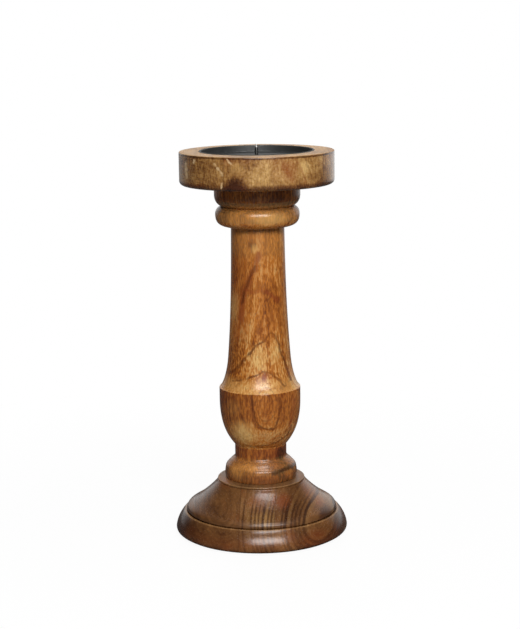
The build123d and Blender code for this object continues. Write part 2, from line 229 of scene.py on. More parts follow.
# How far patterns are drawn out along the log, noise waves per millimetre in it, and the tones at which the
# deep and the body colour stand
DRIFT_RUN, STRAND_RUN, DASH_RUN, CLOUD_RUN, BLUSH_RUN = 0.30, 0.045, 0.3, 0.45, 0.35
DRIFT_WAVES, YEAR_WAVES, BLUSH_WAVES, CLOUD_WAVES = 0.028, 0.11, 0.05, 0.035
BAND_WAVES, FIBRE_WAVES, MOTTLE_WAVES, PORE_WAVES = 0.16, 0.62, 0.13, 1.1
DEEP_TONE, BODY_TONE = 0.28, 0.55
# Flecks across the log's end, in waves a metre, and the tilt of their lines
FLECK_WAVES = (900.0, 900.0, 220.0)
FLECK_TILT = (0.0, 0.6, 0.0)
# Waves a metre at which drawn lines wander and tremble, and where the stand's front turns to its side
LINE_WANDER, LINE_TREMBLE = 70.0, 330.0
FRONT_PASSAGE = (-0.002, 0.006)
# Half width of a glue line and where it ends, and the screen colour of worn paint
SEAM_PASSAGE = (0.0002, 0.0007)
RUBBED_GREY = (92, 94, 96)
# Depths of the fine reliefs
WOOD_RELIEF, PAINT_RELIEF, STEEL_RELIEF, FELT_RELIEF = 0.00012, 0.0001, 0.00005, 0.0003


def paint(red, green, blue):
    """Linear colour of a screen colour given in steps of 0 to 255."""
    shares = [step / 255 for step in (red, green, blue)]
    return tuple(s / 12.92 if s <= 0.04045 else ((s + 0.055) / 1.055) ** 2.4 for s in shares)


class Wire:
    """One output of a shader node. Sums and products of wires add Math nodes to its tree."""

    def __init__(self, tree, socket=None):
        self.tree = tree
        self.socket = socket

    def node(self, kind, settings=None, sockets=None, output=0):
        """Adds a node, sets it up, feeds its sockets by name or number, and returns one of its outputs."""
        made = self.tree.nodes.new(kind)
        for name, value in (settings or {}).items():
            if name == "stops":
                spread_stops(made.color_ramp, value)
            else:
                setattr(made, name, value)
        for key, value in (sockets or {}).items():
            if isinstance(value, Wire):
                self.tree.links.new(value.socket, made.inputs[key])
            else:
                made.inputs[key].default_value = value
        return Wire(self.tree, made.outputs[output])

    def maths(self, operation, *values):
        """One Math node on wires and numbers."""
        return self.node("ShaderNodeMath", {"operation": operation}, dict(enumerate(values)))

    def __add__(self, other):
        return self.maths("ADD", self, other)

    def __sub__(self, other):
        return self.maths("SUBTRACT", self, other)

    def __rsub__(self, other):
        return self.maths("SUBTRACT", other, self)

    def __mul__(self, other):
        return self.maths("MULTIPLY", self, other)

    __radd__, __rmul__ = __add__, __mul__

    def __truediv__(self, other):
        return self.maths("DIVIDE", self, other)

    def __abs__(self):
        return self.maths("ABSOLUTE", self)

    def whole(self):
        """The whole number at or below it."""
        return self.maths("FLOOR", self)

    def rest(self):
        """What is left above that whole number."""
        return self.maths("FRACT", self)

    def least(self, other):
        return self.maths("MINIMUM", self, other)

    def most(self, other):
        return self.maths("MAXIMUM", self, other)


def spread_stops(ramp, stops):
    """Puts a ramp's stops at places 0 to 1, each with its colour."""
    while len(ramp.elements) < len(stops):
        ramp.elements.new(1.0)
    for element, (place, colour) in zip(ramp.elements, stops):
        element.position = place
        element.color = (*colour, 1.0)


def smooth_step(value, low, high):
    """0 below low, 1 above high, with a soft passage between."""
    sockets = {"Value": value, "From Min": low, "From Max": high}
    return value.node("ShaderNodeMapRange", {"interpolation_type": "SMOOTHSTEP"}, sockets)


def tinted(factor, first, second):
    """Colour that passes from the first to the second as the factor goes from 0 to 1."""
    sockets = {MIX_FACTOR: factor, MIX_FIRST: first, MIX_SECOND: second}
    for key in (MIX_FIRST, MIX_SECOND):
        if not isinstance(sockets[key], Wire):
            sockets[key] = (*sockets[key], 1.0)
    return factor.node("ShaderNodeMix", {"data_type": "RGBA"}, sockets, MIX_RESULT)


def stretched(place, factors):
    """A place with its three coordinates multiplied by factors."""
    return place.node("ShaderNodeVectorMath", {"operation": "MULTIPLY"}, {0: place, 1: factors})


def moved(place, shift):
    """A place moved by a vector or by another place."""
    return place.node("ShaderNodeVectorMath", {"operation": "ADD"}, {0: place, 1: shift})


def length_of(place):
    """Distance of a place from the origin."""
    return place.node("ShaderNodeVectorMath", {"operation": "LENGTH"}, {0: place}, "Value")


def along(place, direction):
    """How far a place lies along a direction."""
    return place.node("ShaderNodeVectorMath", {"operation": "DOT_PRODUCT"}, {0: place, 1: direction}, "Value")


def grain_noise(place, waves, detail=2.0, roughness=0.5, distortion=0.0, output=0):
    """Smooth cloudy values around 0.5 at a place, with about so many waves a unit."""
    sockets = {
        "Vector": place, "Scale": waves, "Detail": detail, "Roughness": roughness, "Distortion": distortion}
    return place.node("ShaderNodeTexNoise", {"noise_dimensions": "3D"}, sockets, output)


def drifts(place, waves, *reach):
    """Smooth pushes to and fro at a place, up to about half of reach along each axis."""
    push = grain_noise(place, waves, output="Color")
    return stretched(moved(push, (-0.5, -0.5, -0.5)), reach)


def start_material(name):
    """A material with only its shader, and the place on the stand that its pattern starts from."""
    material = bpy.data.materials.new(name)
    material.use_nodes = True
    tree = material.node_tree
    shader = next(node for node in tree.nodes if node.type == "BSDF_PRINCIPLED")
    return material, shader, Wire(tree).node("ShaderNodeTexCoord", output="Object")


def join(wire, shader, name):
    """Feeds one socket of the shader."""
    wire.tree.links.new(wire.socket, shader.inputs[name])


def emboss(height, shader, strength, reach):
    """Gives the shader a fine relief."""
    join(height.node("ShaderNodeBump", None, {"Strength": strength, "Distance": reach, "Height": height}),
         shader, "Normal")


def scaled(values, share):
    """The parts of a colour or of a place, each multiplied by a share."""
    return tuple(value * share for value in values)


def wavering(place, reach, waves, seed):
    """A place pushed about by smooth noise, so that what is drawn there wavers as if by hand."""
    return moved(place, drifts(moved(place, (seed, seed, seed)), waves, reach, reach, reach))


def crisp(noise):
    """Cloudy values drawn apart into light and dark, still between 0 and 1."""
    return smooth_step(noise, 0.36, 0.64)


def drawn_line(distance, width):
    """1 in the middle of a drawn line and 0 past its half width in millimetres."""
    return 1.0 - smooth_step(distance, width * LINE_CORE * MM, width * MM)


def stroke(face, width, points):
    """1 on a line through points on the stand's front (across and up, in millimetres), 0 beside it."""
    nearest = None
    corners = [Vector((across, 0.0, up)) * MM for across, up in points]
    for start, end in zip(corners, corners[1:]):
        run = end - start
        offset = moved(face, tuple(-start))
        share = (along(offset, tuple(run)) / run.length_squared).most(0.0).least(1.0)
        foot = share.node("ShaderNodeVectorMath", {"operation": "SCALE"}, {0: tuple(-run), "Scale": share})
        gap = length_of(moved(offset, foot))
        nearest = gap if nearest is None else nearest.least(gap)
    return drawn_line(nearest, width)


def loops(face, centre, squeeze, radii, width):
    """1 on rings round a centre on the stand's front (in millimetres), squeeze times as wide as high."""
    offset = moved(face, (-centre[0] * MM, 0.0, -centre[1] * MM))
    reach = length_of(stretched(offset, (1.0 / squeeze, 0.0, 1.0)))
    nearest = None
    for radius in radii:
        gap = abs(reach - radius * MM)
        nearest = gap if nearest is None else nearest.least(gap)
    return drawn_line(nearest, width)


def blot(place, centre, spread):
    """1 in the middle of a soft cloud in the wood and 0 past its half sizes, all in millimetres."""
    offset = moved(place, scaled(centre, -MM))
    reach = length_of(stretched(offset, tuple(1.0 / (half * MM) for half in spread)))
    return 1.0 - smooth_step(reach, BLOT_CORE, 1.0)


def zone(place, low, low_fade, high, high_fade):
    """1 between two heights on the stand and 0 past the fades below and above them, all in millimetres."""
    up = along(place, UP_MM)
    return smooth_step(up, low - low_fade, low) * (1.0 - smooth_step(up, high, high + high_fade))


def painted_edge_highlight(place, radius, level, reach):
    """1 on a turned edge, 0 past its reach: where a pale line is painted along the edge as a highlight."""
    out = length_of(stretched(place, (1.0, 1.0, 0.0))) - radius
    up = along(place, UP) - level
    return 1.0 - smooth_step(out * out + up * up, reach**2 * EDGE_HIGHLIGHT_CORE, reach**2)


def lacquered_wood(name, look):
    """Lacquered hardwood sawn from a log: growth rings round a pith, fibres along the log, pores and figure."""
    material, shader, place = start_material(name)
    log = place.node("ShaderNodeMapping", {"vector_type": "TEXTURE"}, {
        "Vector": place, "Location": scaled(look["pith"], MM), "Rotation": look["fibre"],
        "Scale": (MM, MM, MM)})
    seed = look["seed"]
    drift = moved(stretched(log, (1.0, 1.0, DRIFT_RUN)), (seed, seed, seed))
    bent = moved(log, drifts(drift, DRIFT_WAVES, look["wander"], look["wander"], 0.0))

    # Growth rings: each year ends in a dark line of its own strength
    radius = length_of(stretched(bent, (1.0, 1.0, look["taper"])))
    uneven = radius.node(
        "ShaderNodeTexNoise", {"noise_dimensions": "1D"}, {"W": radius + seed, "Scale": YEAR_WAVES})
    phase = radius / look["ring_width"] + uneven * 2.2
    year = phase.whole()
    strength = year.node("ShaderNodeTexWhiteNoise", {"noise_dimensions": "1D"}, {"W": year + seed})
    late = smooth_step(phase.rest(), 0.45, 0.93) * (1.0 - smooth_step(phase.rest(), 0.93, 1.0))
    rings = late * (strength * 0.75 + 0.25)

    # Fibres, pore dashes and clouds
    strand = moved(stretched(bent, (1.0, 1.0, STRAND_RUN)), (seed * 3.1, seed, 0.0))
    dash = moved(stretched(bent, (1.0, 1.0, DASH_RUN)), (seed, seed * 2.3, 0.0))
    bands = grain_noise(strand, BAND_WAVES, 2.0, 0.6)
    fibres = crisp(grain_noise(strand, FIBRE_WAVES, 1.0))
    dashes = crisp(grain_noise(dash, look["dash_waves"], 1.0))
    mottle = grain_noise(dash, MOTTLE_WAVES, 2.0, 0.6)
    pores = smooth_step(grain_noise(dash, PORE_WAVES, 1.0, 0.4), 0.60, 0.72)
    cloud = moved(stretched(log, (1.0, 1.0, CLOUD_RUN)), (0.0, seed, seed * 2.0))
    clouds = grain_noise(cloud, CLOUD_WAVES, 1.0)
    blush = grain_noise(moved(stretched(log, (1.0, 1.0, BLUSH_RUN)), (seed, 0.0, seed)), BLUSH_WAVES)

    tone = BODY_TONE + look["lift"] - rings * smooth_step(mottle, 0.35, 0.6) * look["rings"]
    for pattern, key in ((bands, "bands"), (clouds, "clouds"), (mottle, "mottle"), (fibres, "fibres"),
                         (dashes, "dashes")):
        tone = tone + (pattern - 0.5) * look[key]
    for *heights, amount in look["busy"]:
        tone = tone + (dashes - 0.5) * zone(place, *heights) * amount
    if look["flecks"]:
        tilted = place.node("ShaderNodeMapping", None, {
            "Vector": place, "Rotation": FLECK_TILT, "Scale": FLECK_WAVES})
        flecks = crisp(grain_noise(tilted, 1.0, 1.0)) - 0.5
        tone = tone + flecks * (1.0 - zone(place, *FLECKS_END)) * look["flecks"]
    stains = [(blot(place, centre, spread), *stain) for centre, spread, *stain in look["blots"]]
    stains += [(zone(place, *row[:4]), *row[4:]) for row in look["zones"]]
    for area, lift, *_ in stains:
        tone = tone + area * lift
    stops = ((0.0, look["dark"]), (DEEP_TONE, look["deep"]), (BODY_TONE, look["body"]), (1.0, look["pale"]))
    colour = tone.node("ShaderNodeValToRGB", {"stops": stops}, {0: tone})
    colour = tinted(smooth_step(blush, 0.5, 0.72) * look["blush_share"], colour, look["blush"])
    for area, _, *tint in stains:
        if tint:
            shade, share = tint
            colour = tinted(area * share, colour, look[shade])
    colour = tinted(pores * look["pores"], colour, look["dark"])

    # Figure drawn on the front: lines, rings round a knot, painted highlights along edges, and glue seams
    face = wavering(stretched(place, (1.0, 0.0, 1.0)), look["waver"], LINE_WANDER, seed)
    face = wavering(face, look["waver"] * 0.5, LINE_TREMBLE, seed)
    front = smooth_step(along(place, (0.0, -1.0, 0.0)), *FRONT_PASSAGE)
    broken = 0.4 + crisp(mottle) * 0.35 + dashes * 0.25
    for width, share, shade, points in look["strokes"]:
        colour = tinted(stroke(face, width, points) * front * broken * share, colour, look[shade])
    shown = smooth_step(along(place, UP_MM), *RIM_TO_DOME) * 0.5 + 0.5
    shown = shown * (1.0 - zone(place, *DOME_TOP) * 0.7) * (broken * 0.4 + 0.6)
    for centre, squeeze, radii, width, share, shade in look["loops"]:
        colour = tinted(loops(face, centre, squeeze, radii, width) * shown * share, colour, look[shade])
    # Painted highlights: pale lines along turned edges, broken up like the figure
    for radius, level, reach, share in look["edge_highlights"]:
        colour = tinted(painted_edge_highlight(place, radius, level, reach) * broken * share, colour, look["pale"])
    for across, half in look["seams"]:
        gap = abs(along(place, across) - half)
        colour = tinted((1.0 - smooth_step(gap, *SEAM_PASSAGE)) * 0.3, colour, look["dark"])
    join(colour, shader, "Base Color")

    roughness = look["gloss"] + (fibres - 0.5) * 0.06 + pores * 0.10
    for *heights, amount in look["dull"]:
        roughness = roughness + zone(place, *heights) * amount
    join(roughness, shader, "Roughness")
    emboss(fibres * 0.3 - pores * 0.5, shader, 0.3, WOOD_RELIEF)
    if look["coat"]:
        join(look["coat"] * (1.0 - zone(place, *DISH_LAND)), shader, "Coat Weight")
    shader.inputs["Coat Roughness"].default_value = 0.16
    shader.inputs["IOR"].default_value = 1.5
    return material


def black_paint(name, colour):
    """Black stoved paint on pressed steel: slight orange peel and a little grey where it is worn."""
    material, shader, place = start_material(name)
    cloud = grain_noise(place, 60.0, 3.0)
    worn = smooth_step(grain_noise(place, 240.0, 3.0, 0.6), 0.55, 0.8)
    shade = tinted(cloud, scaled(colour, 0.8), scaled(colour, 1.3))
    join(tinted(worn * 0.2, shade, paint(*RUBBED_GREY)), shader, "Base Color")
    join(0.46 + cloud * 0.12 + worn * 0.1, shader, "Roughness")
    emboss(grain_noise(place, 900.0), shader, 0.12, PAINT_RELIEF)
    shader.inputs["IOR"].default_value = 1.6
    return material


def plain_steel(name, colour, bright_from=None):
    """Steel drawn along its length, dark with age below the level where it is ground bright."""
    material, shader, place = start_material(name)
    drawn = grain_noise(stretched(place, (1.0, 1.0, 0.05)), 2600.0)
    tarnish = smooth_step(grain_noise(place, 420.0, 3.0), 0.45, 0.75)
    finish = tinted(tarnish * 0.6, colour, scaled(colour, 0.45))
    if bright_from is not None:
        aged = 1.0 - smooth_step(along(place, UP), bright_from - 0.8 * MM, bright_from)
        finish = tinted(aged, finish, scaled(colour, 0.16))
    join(finish, shader, "Base Color")
    join(0.32 + drawn * 0.18 + tarnish * 0.12, shader, "Roughness")
    emboss(drawn, shader, 0.15, STEEL_RELIEF)
    shader.inputs["Metallic"].default_value = 1.0
    return material


def wool_felt(name, colour):
    """Pressed wool felt: matted fibres, matt and slightly uneven."""
    material, shader, place = start_material(name)
    matted = grain_noise(place, 1400.0, 4.0, 0.7, 1.5)
    cloud = grain_noise(place, 120.0)
    join(tinted(matted * 0.6 + cloud * 0.4, scaled(colour, 0.5), colour), shader, "Base Color")
    join(0.9 + matted * 0.1, shader, "Roughness")
    emboss(matted, shader, 0.6, FELT_RELIEF)
    shader.inputs["Sheen Weight"].default_value = 0.3
    return material


def turned(name, *corners, closed=False):
    """The solid turned about the upright axis from a half section.

    A corner is a radius and a height. Where a smooth stretch leads to it, a third value holds the stretch's two
    handles, each as shares of its radial and its vertical span.
    """
    if closed:
        corners = (*corners, corners[0])
    deselect_all()
    bpy.ops.curve.primitive_bezier_curve_add()
    drawn = bpy.context.object
    drawn.data.resolution_u = CURVE_STEPS
    points = drawn.data.splines[0].bezier_points
    points.add(len(corners) - len(points))
    for point, (radius, height, *_) in zip(points, corners):
        point.handle_left_type = point.handle_right_type = "VECTOR"
        point.co = (radius, 0.0, height)
    for start, end, (_, _, *handles) in zip(points[:], points[1:], corners[1:]):
        for (first_out, first_up), (second_out, second_up) in handles:
            start.handle_right_type = end.handle_left_type = "FREE"
            span = end.co - start.co
            start.handle_right = start.co + Vector((span.x * first_out, 0.0, span.z * first_up))
            end.handle_left = start.co + Vector((span.x * second_out, 0.0, span.z * second_up))
    bpy.ops.object.convert(target="MESH")
    piece = bpy.context.object
    piece.name = piece.data.name = name
    bpy.ops.object.mode_set(mode="EDIT")
    bpy.ops.mesh.select_all(action="SELECT")
    bpy.ops.mesh.remove_doubles(threshold=MERGE_DISTANCE)
    bpy.ops.mesh.spin(steps=SPIN_STEPS, angle=math.tau, center=(0, 0, 0), axis=(0, 0, 1))
    bpy.ops.mesh.select_all(action="SELECT")
    bpy.ops.mesh.remove_doubles(threshold=MERGE_DISTANCE)
    bpy.ops.mesh.normals_make_consistent(inside=False)
    bpy.ops.object.mode_set(mode="OBJECT")
    return piece


def deselect_all():
    """Leaves nothing selected, in object mode."""
    if bpy.context.object and bpy.context.object.mode != "OBJECT":
        bpy.ops.object.mode_set(mode="OBJECT")
    bpy.ops.object.select_all(action="DESELECT")


def pick(piece):
    """Selects one piece alone and makes it the active one."""
    deselect_all()
    piece.select_set(True)
    bpy.context.view_layer.objects.active = piece


def finished(piece, node, material):
    """Smooths a piece, gives it its material, and lets it stand for its fixed node."""
    pick(piece)
    bpy.ops.object.shade_smooth_by_angle(angle=SMOOTH_ANGLE)
    piece.data.materials.clear()
    piece.data.materials.append(material)
    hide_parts(node)
    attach(piece, "root")
    return piece


def sawn_board(blank, name, cuts):
    """A copy of a round blank, kept on the inner side of each seam plane and closed there."""
    pick(blank)
    bpy.ops.object.duplicate()
    board = bpy.context.object
    board.name = board.data.name = name
    bpy.ops.object.mode_set(mode="EDIT")
    for across, half in cuts:
        bpy.ops.mesh.select_all(action="SELECT")
        bpy.ops.mesh.bisect(plane_co=across * half, plane_no=across, use_fill=True, clear_outer=True)
    bpy.ops.mesh.select_all(action="SELECT")
    bpy.ops.mesh.normals_make_consistent(inside=False)
    bpy.ops.object.mode_set(mode="OBJECT")
    return board


def sawn_boards(blank, part, half, turn, looks):
    """The left, middle and right board of a part's glued-up blank, each with its own grain."""
    right = Vector((math.cos(turn), math.sin(turn), 0.0))
    cuts = {
        "left": ((right, -half),),
        "middle": ((right, half), (-right, half)),
        "right": ((-right, -half),),
    }
    for side, planes in cuts.items():
        name = f"{part}_board_{side}"
        look = {**looks[side], "seams": ((tuple(right), half), (tuple(right), -half))}
        finished(sawn_board(blank, f"{name}_turned", planes), name,
                 lacquered_wood(f"{name}_wood", look))
    bpy.data.objects.remove(blank)


# Grain of each board. The pith is a place on the stand in millimetres and the fibre direction a turn; ring
# width, wander and waves are in millimetres inside the log; the last rows are the figure on the surface
COMMON_GRAIN = {
    "taper": 0.0, "dash_waves": 0.55, "wander": 9.0, "bands": 0.45, "fibres": 0.10, "dashes": 0.24,
    "mottle": 0.35, "clouds": 0.8, "rings": 0.25, "lift": 0.0, "blush_share": 0.35, "gloss": 0.27, "coat": 0.0,
    "waver": 0.0045, "flecks": 0.0, "pores": 0.35, "busy": (), "dull": (), "strokes": (), "loops": (),
    "blots": (), "zones": (), "edge_highlights": (), "seams": (),
}
ALONG_STAND = (0.0, 0.0, 0.0)
ALONG_SEAMS = (math.radians(90), 0.0, 0.0)

# Figure drawn on the fronts, in millimetres: a line's half width, share, shade, and points across and up
RING_STREAK = ((9, 51.6), (15, 53), (20, 53.8), (27.4, 54))
COLUMN_STROKES = (
    (1.4, 0.85, "line", (
        (-23.2, 128.9), (-18.6, 133.7), (-13, 140.9), (-6.5, 146.9), (-2.4, 152.4), (3.5, 156), (7.6, 161.1),
        (10, 162), (11.7, 160.6), (15.3, 152.8), (17.4, 143.4), (20.4, 131.8), (25, 122.6))),
    (1.2, 0.85, "line", ((-20.5, 124.2), (-12.2, 126.7), (-2.3, 129.9), (2.3, 133), (8.6, 131.2), (15.8, 124.1),
                         (19.4, 120.2))),
    (3.6, 0.8, "blush", ((0.3, 222.6), (-2.8, 213.1), (-7.5, 202.1), (-11.3, 191.9), (-13.2, 172.9))),
    (1.8, 0.85, "line", ((-2.8, 213.1), (-7.5, 202.1), (-11.3, 191.9), (-12.2, 182.9))),
    (2.2, 0.7, "blush", ((-9.4, 195.8), (-5, 194.1), (1.4, 194.9), (6.7, 193.8), (14.8, 187.4))),
    (1.4, 0.35, "line", ((-19, 148), (-16, 155), (-11, 157), (-6, 153))),
    (1.1, 0.35, "line", ((8.6, 182), (7.8, 172), (8.3, 163))),
    (1.5, 0.8, "line", (
        (-5.8, 111.6), (-5.1, 102.9), (-4, 96.5), (0.6, 90.5), (6.8, 87.9), (11.6, 89.1), (14.5, 97),
        (15.3, 105.7), (14.2, 112.2))),
    (1.4, 0.75, "line", ((24.5, 88), (20.5, 79.9), (12, 75.4), (6, 73.4), (-3.7, 73.1), (-12.9, 74.1))),
    (1.2, 0.6, "line", ((22.5, 86.5), (16.5, 81), (9, 78.2))),
    (2, 0.35, "line", ((-22, 112), (-20.5, 100), (-17, 90))),
    (1.4, 0.35, "line", ((-14.5, 112), (-12.5, 98))),
    (2.2, 0.5, "blush", ((25.5, 112), (25.5, 98), (22.5, 86))),
    (2.2, 1, "dark", RING_STREAK),
)
# Rings in the figure: middle, stretch across, radii, half width, share and shade
COLUMN_LOOPS = (
    ((4.9, 108), 0.62, (7.5, 12.5), 1, 0.35, "line"),
)
# Clouds: middle, half sizes across, deep and high, lift of the tone, and a shade with its share
COLUMN_BLOTS = (
    ((-1, -24, 143.5), (10, 14, 13), 0.12, "straw", 0.28),
    ((12, -20, 147), (6, 14, 13), 0.13, "straw", 0.25),
    ((19, -22, 120), (10, 14, 6), -0.16),
    ((-20, -22, 104), (9, 14, 10), 0.08, "straw", 0.1),
    ((-24, -12, 252), (11, 16, 30), -0.12),
    ((1, -24, 126), (14, 12, 8), -0.05),
    ((-19, -18, 51), (9, 14, 9), 0.17, "straw", 0.1),
    ((-9, -24, 56), (14, 14, 4.5), 0.14, "straw", 0.08),
    ((22, -16, 49), (7, 12, 5), 0.12),
    ((2, -27, 46), (15, 12, 6), -0.07, "blush", 0.25),
    ((13, -25, 52.5), (7, 10, 3), -0.12, "dark", 0.35),
    ((22, -18, 54), (7, 10, 2.5), -0.12, "dark", 0.5),
    ((1, -21, 167), (8, 12, 22), 0.10),
    ((-2.6, -20.6, 227.5), (4, 10, 5), 0.12, "straw", 0.3),
    ((-18.6, -11.5, 182), (4.5, 14, 17), 0.14, "straw", 0.25),
    ((-16, -15, 146), (7, 14, 18), -0.10),
    ((3.6, -25.9, 128), (3.2, 8, 4.6), -0.10, "blush", 0.8),
    ((-14, -25.5, 84), (15, 20, 15), 0.21, "straw", 0.4),
    ((4, -27, 80), (13, 16, 9), 0.08),
    ((16, -13, 65), (6, 16, 7), -0.25),
    ((-4.5, -20.1, 230.5), (5, 10, 5.5), -0.22),
    ((14.8, -15.9, 187), (5, 10, 5), -0.10, "blush", 0.3),
    ((-15, -15, 200), (13, 16, 65), -0.08, "blush", 0.3),
    # The next cloud lightens the lower bead's front right: paler wood there and partly a painted highlight
    ((10, -31, 250.5), (20, 20, 7), 0.16, "straw", 0.3),
)
# Belts: from a height to another with a fade below and above, lift of the tone, and a shade with its share
COLUMN_ZONES = (
    (43, 1, 62, 0.4, -0.30, "straw", 0.06),
    (52, 3, 60, 1, 0.05, "straw", 0.06),
    # The next belt darkens the neck under the cup: painted shade of the cup, with a reddish tint in the wood
    (62.4, 0.4, 69.2, 1, -0.26, "blush", 0.12),
    (97, 14, 115.8, 0.3, -0.09, "blush", 0.08),
    (116.1, 0.3, 121, 8, 0.12, "straw", 0.25),
    (226, 10, 243.5, 0.5, -0.09, "straw", 0.12),
    (247.6, 0.5, 262.8, 0.5, -0.14, "straw", 0.2),
    # The next belt darkens the upper bead under the dish: painted shade of the dish
    (262, 3, 280, 1, -0.14, "line", 0.12),
)
DISH_LEFT_STROKES = (
    (1.3, 0.85, "filler", ((-52.6, 294.8), (-53.3, 289), (-53.4, 283))),
    (1, 0.8, "filler", ((-46, 296.6), (-46, 293.4))),
    (1.3, 0.95, "filler", ((-31.2, 294), (-28.3, 290.5), (-25.4, 286.6))),
    (1.2, 0.8, "filler", ((-25.6, 281.4), (-25.8, 277.4))),
)
DISH_MIDDLE_STROKES = (
    (1, 0.7, "filler", ((-22.1, 298.2), (-19, 294.8))),
    (2.4, 0.3, "blush", ((20, 294), (23.5, 288), (26.5, 281))),
    (1.6, 0.4, "blush", ((30, 296), (33, 288), (35.5, 280))),
    (1.2, 0.35, "line", ((36, 296), (39, 288), (41, 280))),
)
DISH_MIDDLE_BLOTS = (
    ((-16, -57, 279), (12, 14, 8), -0.38, "line", 0.3),
    ((24, -54, 290), (10, 16, 13), -0.06, "blush", 0.4),
    ((35, -48.6, 290), (7, 14, 9), 0.14, "straw", 0.2),
    ((-14, -56, 292), (8, 12, 6), 0.14, "straw", 0.2),
    ((5, -58, 285), (16, 14, 12), 0.08, "straw", 0.15),
)
DISH_RIGHT_STROKES = (
    (1.1, 0.45, "line", ((44.3, 296.3), (45.2, 288), (45.7, 279.3))),
    (1, 0.4, "line", ((49.3, 296), (50, 287), (50.2, 280))),
)
DISH_ZONES = (
    (270, 1, 277.5, 2.5, -0.2, "line", 0.35),
    # The next belt is a dark line just under the dish's top arris: painted shade
    (298.4, 0.5, 299.5, 0.2, -0.16, "dark", 0.45),
    # The next belt makes the dish's flat land paler: painted reflection of the white surroundings
    (*DISH_LAND, 0, "filler", 0.2),
)
FOOT_ZONES = ((42.4, 0.4, 46, 1, -0.06, "straw", 0.05),)
# Belts with less polish or with more dashes: the heights and fades of a belt, and an amount
DISH_DULL = ((*DISH_LAND, 0.2),)
FOOT_DULL = ((18.4, 0.3, 22, 2.5, 0.08), (42.8, 0.2, 46, 1, 0.22))
COLUMN_BUSY = ((126, 4, 150, 16, 0.09),)
# How far a painted highlight reaches from an edge
EDGE_HIGHLIGHT_REACH = 0.0012
# Year rings of the foot round the knots on its right and left
KNOT, LEFT_KNOT = (44.8, 18), (-31.7, 28.9)
FOOT_MIDDLE_LOOPS = (
    (KNOT, 1, (44.3, 31.6), 1.5, 1, "dark"),
    (KNOT, 1, (33.8, 38.2, 40.6, 47.6, 50.2, 53, 59.4), 1, 0.8, "dark"),
    (KNOT, 1, (42.2, 36.2, 55.8), 1.6, 0.07, "straw"),
)
FOOT_RIGHT_LOOPS = (
    (KNOT, 1, (13, 27.3), 1.7, 1, "dark"),
    (KNOT, 1, (16.6, 19.6, 22.4, 30.2), 1, 0.8, "dark"),
    (KNOT, 1, (10.8, 24.6), 1.8, 0.07, "straw"),
)
FOOT_LEFT_LOOPS = (
    (LEFT_KNOT, 1, (5.5, 9, 13, 18, 21), 0.9, 0.35, "dark"),
)
# Clouds of the foot
RIM_FLUSH = ((0, 0, 6), (95, 95, 13), 0, "blush", 0.5)
FOOT_LEFT_BLOTS = (
    RIM_FLUSH,
    # Darker towards the foot's left end: painted shade where the side turns from the light
    ((-60, -20, 8), (22, 44, 17), -0.14, "dark", 0.55),
    ((-36, -36, 24), (14, 26, 8), -0.06, "dark", 0.15),
)
FOOT_MIDDLE_BLOTS = (
    RIM_FLUSH,
    ((13, -40, 34), (8, 18, 8), 0, "blush", 0.45),
    ((0, -52, 23), (14, 20, 7), 0.04, "straw", 0.12),
)
FOOT_RIGHT_BLOTS = (
    RIM_FLUSH,
    ((17, -38.5, 33.2), (9, 18, 8), 0, "blush", 0.45),
    ((45, -18, 28), (9, 15, 6), 0.10, "blush", 0.3),
    ((50, -29, 20.5), (10, 20, 6), -0.16, "dark", 0.4),
    # Darker towards the foot's right end: painted shade where the side turns from the light
    ((62, -20, 8), (15, 36, 15), -0.14, "dark", 0.6),
    ((42, -48, 6), (34, 40, 13), -0.15),
    ((40, -52, 8), (16, 20, 9), 0.03, "blush", 0.25),
)


def grain(shared, **own):
    """A board's grain: the common values, those that a part's boards share, and the board's own."""
    return {**COMMON_GRAIN, **shared, **own}


def wood_colours(colours, part):
    """The colours of a part's wood and of the figure in it."""
    own = {key: getattr(colours, f"{part}_{key}") for key in ("pale", "body", "deep")}
    figure = {"dark": colours.dark_wood, "blush": colours.warm_wood, "line": colours.line_wood,
              "straw": colours.straw_wood, "filler": colours.filler}
    return {**own, **figure}


def quantity(name, description, default, unit="LENGTH"):
    """A length, or an amount in another unit."""
    return bpy.props.FloatProperty(name=name, description=description, default=default, unit=unit)


def swatch(name, description, red, green, blue):
    """A colour, with its default as a screen colour in steps of 0 to 255."""
    return bpy.props.FloatVectorProperty(
        name=name, description=description, subtype="COLOR", default=paint(red, green, blue))


class CandleStandSizes(bpy.types.PropertyGroup):
    """Overall sizes that the pieces are turned to."""

    foot_radius: quantity("Foot Radius", "Radius of the foot at its belly", FOOT_HIGH.y)
    foot_top: quantity("Foot Top", "Height of the foot's upper land", FOOT_HIGH.z)
    bead_radius: quantity("Bead Radius", "Radius of the column's upper bead", COLUMN_HIGH.x)
    dish_radius: quantity("Dish Radius", "Radius of the wooden dish", DISH_HIGH.y)
    dish_level: quantity("Dish Level", "Height of the dish's underside", DISH_LOW.z)
    stand_height: quantity("Stand Height", "Height of the dish's flat rim", DISH_HIGH.z)
    pan_radius: quantity("Pan Radius", "Outer radius of the drip pan's wall", PAN_HIGH.x - PAN_LIP_RADIUS)


